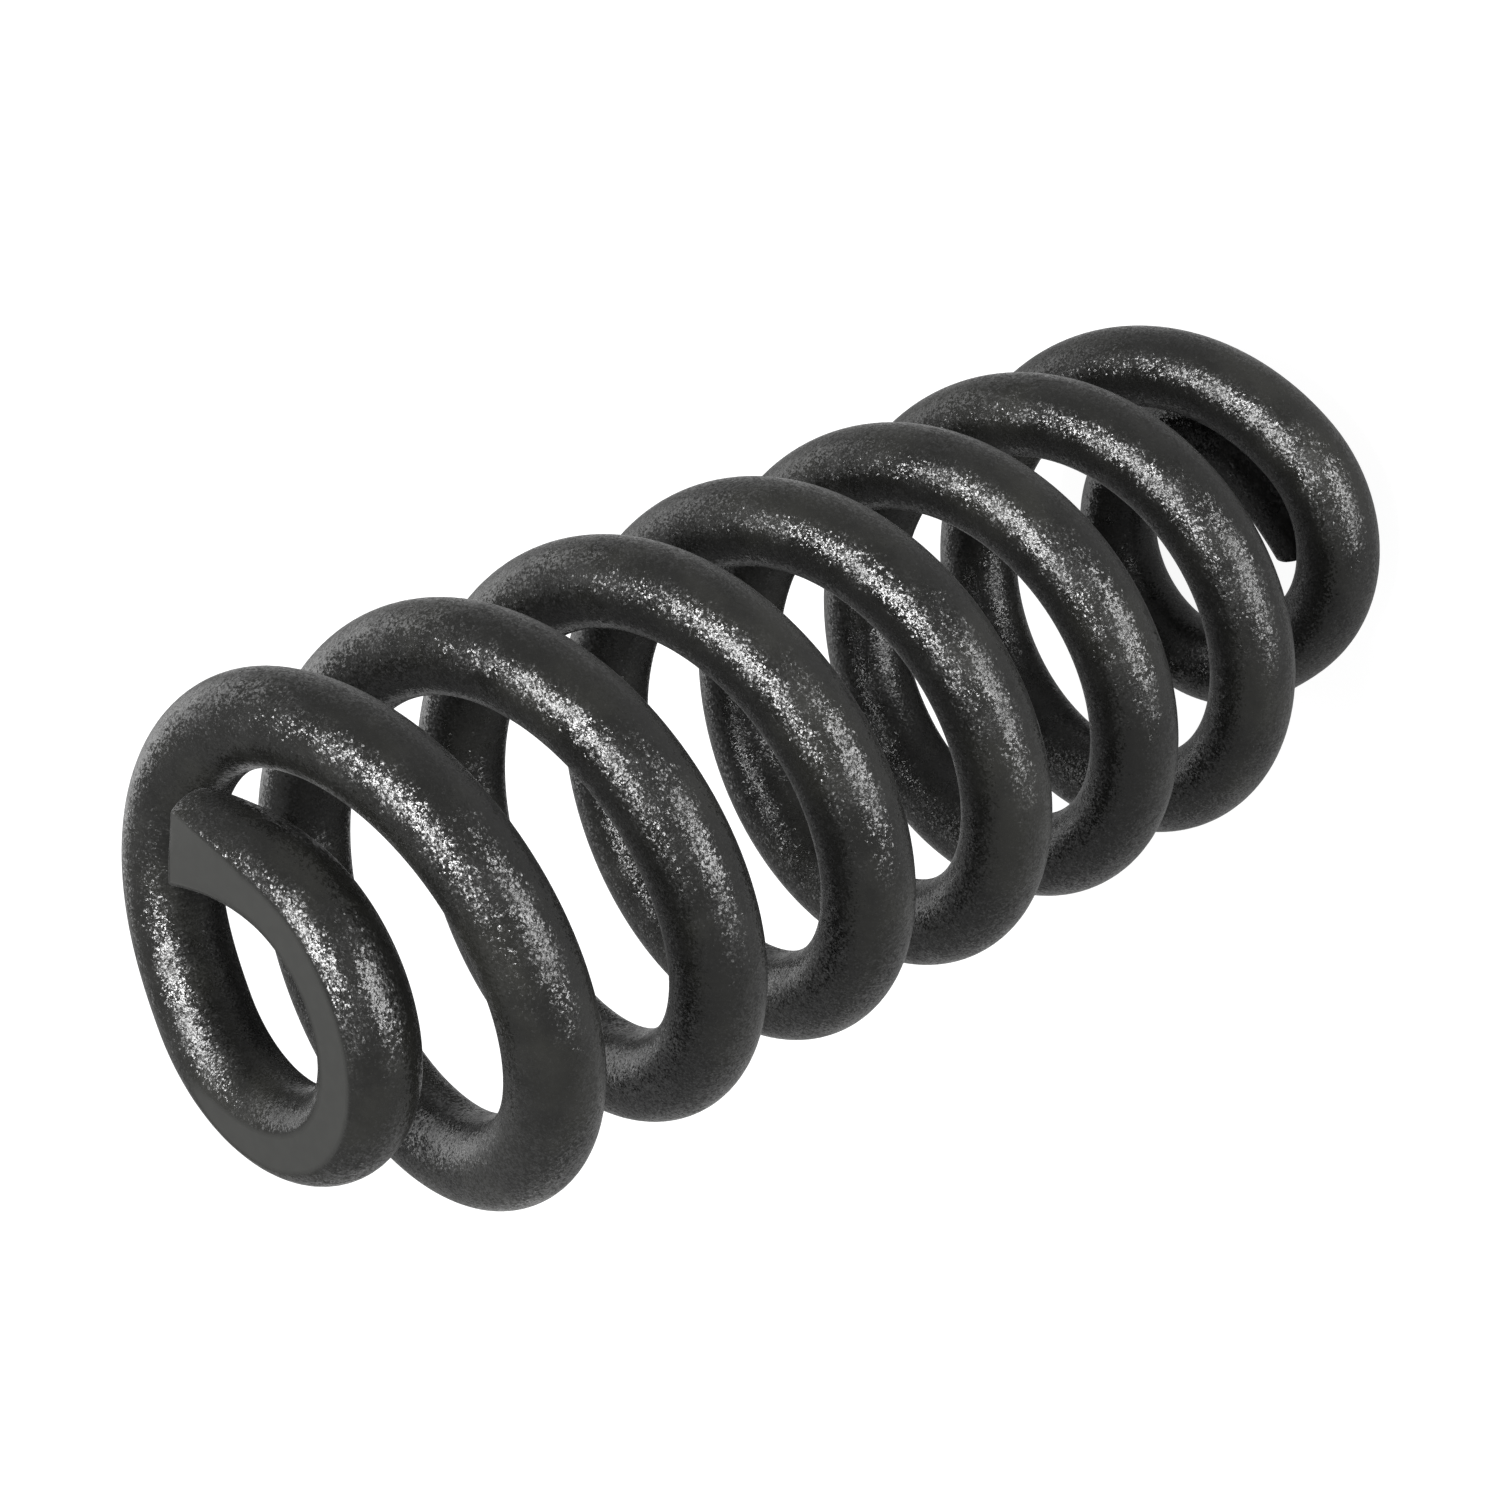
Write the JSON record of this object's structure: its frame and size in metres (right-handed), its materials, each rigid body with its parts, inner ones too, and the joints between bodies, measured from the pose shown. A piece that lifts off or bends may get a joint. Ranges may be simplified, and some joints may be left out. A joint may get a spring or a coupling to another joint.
{
  "type": "coil spring",
  "caption": "Compression coil spring of thick round wire, wound right-handed, with smaller closed end turns ground flat and a fine-textured black coating.",
  "frame": {"origin": "centre of the lower seating plane, on the spring's axis", "axes": "+Z along the spring's axis, from its lower end to its upper end; the wire's lower tip lies towards +X"},
  "size_m": [0.0495, 0.0498, 0.128],
  "materials": {
    "black_coating": "fine-textured satin black powder coat"
  },
  "bodies": {
    "lower_end_turn": {"lower_end_turn": "black_coating"},
    "active_turn_1": {"active_turn_1": "black_coating"},
    "active_turn_2": {"active_turn_2": "black_coating"},
    "active_turn_3": {"active_turn_3": "black_coating"},
    "active_turn_4": {"active_turn_4": "black_coating"},
    "active_turn_5": {"active_turn_5": "black_coating"},
    "active_turn_6": {"active_turn_6": "black_coating"},
    "upper_end_turn": {"upper_end_turn": "black_coating"}
  },
  "joints": [
    {"name": "compression", "type": "slide", "parent": "lower_end_turn", "child": "upper_end_turn", "axis": [0, 0, -1], "range_m": [0, 0.04], "stiffness_N_per_m": 85000},
    {"name": "active_turn_1_slide", "type": "slide", "parent": "lower_end_turn", "child": "active_turn_1", "axis": [0, 0, -1], "range_m": [0, 0.0026]},
    {"name": "active_turn_2_slide", "type": "slide", "parent": "lower_end_turn", "child": "active_turn_2", "axis": [0, 0, -1], "range_m": [0, 0.0083]},
    {"name": "active_turn_3_slide", "type": "slide", "parent": "lower_end_turn", "child": "active_turn_3", "axis": [0, 0, -1], "range_m": [0, 0.016]},
    {"name": "active_turn_4_slide", "type": "slide", "parent": "lower_end_turn", "child": "active_turn_4", "axis": [0, 0, -1], "range_m": [0, 0.0243]},
    {"name": "active_turn_5_slide", "type": "slide", "parent": "lower_end_turn", "child": "active_turn_5", "axis": [0, 0, -1], "range_m": [0, 0.0319]},
    {"name": "active_turn_6_slide", "type": "slide", "parent": "lower_end_turn", "child": "active_turn_6", "axis": [0, 0, -1], "range_m": [0, 0.0377]}
  ],
  "couplings": [
    {"joint": "active_turn_1_slide", "follows": "compression", "ratio": 0.0615},
    {"joint": "active_turn_2_slide", "follows": "compression", "ratio": 0.204},
    {"joint": "active_turn_3_slide", "follows": "compression", "ratio": 0.3953},
    {"joint": "active_turn_4_slide", "follows": "compression", "ratio": 0.6031},
    {"joint": "active_turn_5_slide", "follows": "compression", "ratio": 0.7948},
    {"joint": "active_turn_6_slide", "follows": "compression", "ratio": 0.9377}
  ]
}
